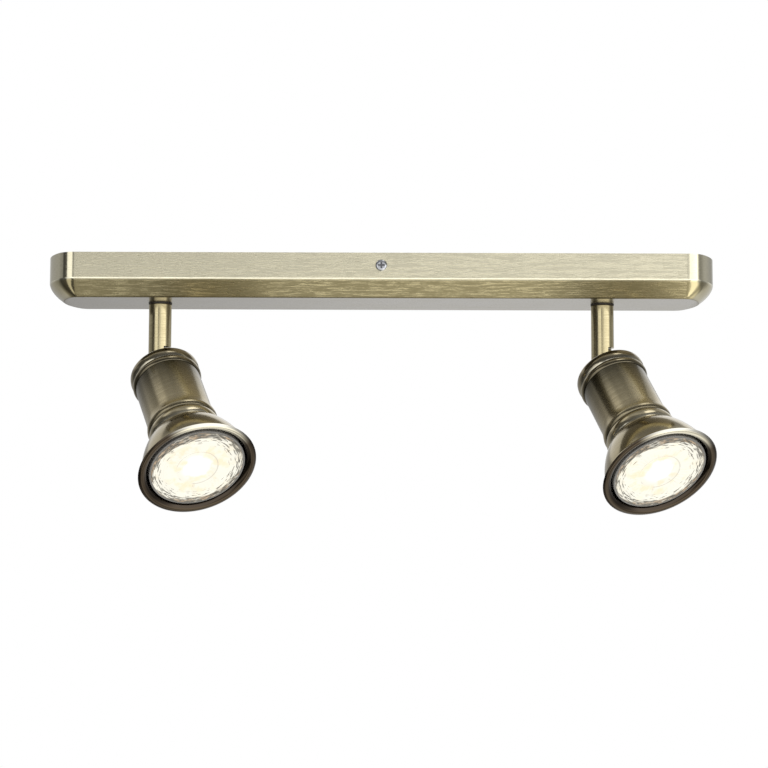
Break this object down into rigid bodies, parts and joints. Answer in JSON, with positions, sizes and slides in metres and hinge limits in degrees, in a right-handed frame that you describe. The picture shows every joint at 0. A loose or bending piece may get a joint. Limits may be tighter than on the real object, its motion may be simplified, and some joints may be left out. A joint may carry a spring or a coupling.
{
  "type": "twin spotlight",
  "caption": "Chamfered antique brass bar with spot heads that swivel and tilt on short stems and take twist-lock lamps, for a ceiling or wall.",
  "frame": {"origin": "middle of the plane the bar is fixed to, between the bracket's two slots", "axes": "+X along the bar, +Z out of the back of the bar into the ceiling, -Y towards the front"},
  "size_m": [0.352, 0.1081, 0.1361],
  "materials": {
    "bar_brass": "brushed along the bar and lacquered",
    "stem_brass": "polished",
    "head_bronze": "dark antique bronze, glossy lacquer",
    "knuckle_bronze": "dark bronze, satin",
    "zinc_steel": "zinc plated",
    "spring_steel": "blued spring steel",
    "dark_steel": "blackened",
    "black_washer": "matt black nylon",
    "block_plastic": "matt moulded",
    "contact_brass": "plain machined",
    "earth_insulation": "green with a yellow stripe",
    "live_insulation": "brown",
    "neutral_insulation": "blue",
    "sleeve": "woven glass sleeve",
    "holder_ceramic": "unglazed",
    "lamp_housing": "moulded, satin silver",
    "lamp_chip": "phosphor",
    "lamp_lens": "clear moulded optic"
  },
  "bodies": {
    "base": {"bar_cover": "bar_brass", "mounting_bracket": "zinc_steel", "cover_screws": "zinc_steel", "terminal_block": "block_plastic", "terminal_inserts": "contact_brass", "terminal_screws": "zinc_steel", "terminal_fixing_screw": "zinc_steel", "earth_screw": "contact_brass", "earth_lead": "earth_insulation", "live_lead_left": "live_insulation", "live_lead_right": "live_insulation", "neutral_lead_left": "neutral_insulation", "neutral_lead_right": "neutral_insulation", "stop_plate_left": "zinc_steel", "stop_plate_right": "zinc_steel"},
    "arm_left": {"stem_left": "stem_brass", "foot_washer_left": "black_washer", "stop_washer_left": "zinc_steel", "spring_washer_left": "spring_steel", "stem_nut_left": "zinc_steel", "stem_lead_left": "sleeve", "pivot_screw_left": "dark_steel", "pivot_washer_left": "spring_steel"},
    "head_left": {"knuckle_lug_left": "knuckle_bronze", "lug_nut_left": "zinc_steel", "rear_cap_left": "head_bronze", "barrel_left": "head_bronze", "shade_left": "head_bronze", "holder_bracket_left": "zinc_steel", "lampholder_left": "holder_ceramic", "holder_contacts_left": "contact_brass", "holder_screws_left": "zinc_steel", "head_lead_left": "sleeve"},
    "lamp_left": {"lamp_body_left": "lamp_housing", "lamp_led_left": "lamp_chip", "lamp_lens_left": "lamp_lens", "lamp_pins_left": "contact_brass"},
    "arm_right": {"stem_right": "stem_brass", "foot_washer_right": "black_washer", "stop_washer_right": "zinc_steel", "spring_washer_right": "spring_steel", "stem_nut_right": "zinc_steel", "stem_lead_right": "sleeve", "pivot_screw_right": "dark_steel", "pivot_washer_right": "spring_steel"},
    "head_right": {"knuckle_lug_right": "knuckle_bronze", "lug_nut_right": "zinc_steel", "rear_cap_right": "head_bronze", "barrel_right": "head_bronze", "shade_right": "head_bronze", "holder_bracket_right": "zinc_steel", "lampholder_right": "holder_ceramic", "holder_contacts_right": "contact_brass", "holder_screws_right": "zinc_steel", "head_lead_right": "sleeve"},
    "lamp_right": {"lamp_body_right": "lamp_housing", "lamp_led_right": "lamp_chip", "lamp_lens_right": "lamp_lens", "lamp_pins_right": "contact_brass"}
  },
  "joints": [
    {"name": "swivel_left", "type": "hinge", "parent": "base", "child": "arm_left", "pos_m": [-0.1175, 0, 0], "axis": [0, 0, 1], "range_deg": [-185.8, 134.2]},
    {"name": "tilt_left", "type": "hinge", "parent": "arm_left", "child": "head_left", "pos_m": [-0.1175, 0, -0.0534], "axis": [-0.9003, -0.4352, 0], "range_deg": [-133.6, 46.4]},
    {"name": "lamp_twist_left", "type": "hinge", "parent": "head_left", "child": "lamp_left", "pos_m": [-0.1175, 0, -0.0534], "axis": [0.3001, -0.6209, -0.7242], "range_deg": [0, 20]},
    {"name": "swivel_right", "type": "hinge", "parent": "base", "child": "arm_right", "pos_m": [0.1175, 0, 0], "axis": [0, 0, 1], "range_deg": [-184.5, 135.5]},
    {"name": "tilt_right", "type": "hinge", "parent": "arm_right", "child": "head_right", "pos_m": [0.1175, 0, -0.0534], "axis": [-0.91, -0.4147, 0], "range_deg": [-132.4, 47.6]},
    {"name": "lamp_twist_right", "type": "hinge", "parent": "head_right", "child": "lamp_right", "pos_m": [0.1175, 0, -0.0534], "axis": [0.2796, -0.6136, -0.7385], "range_deg": [0, 20]}
  ]
}
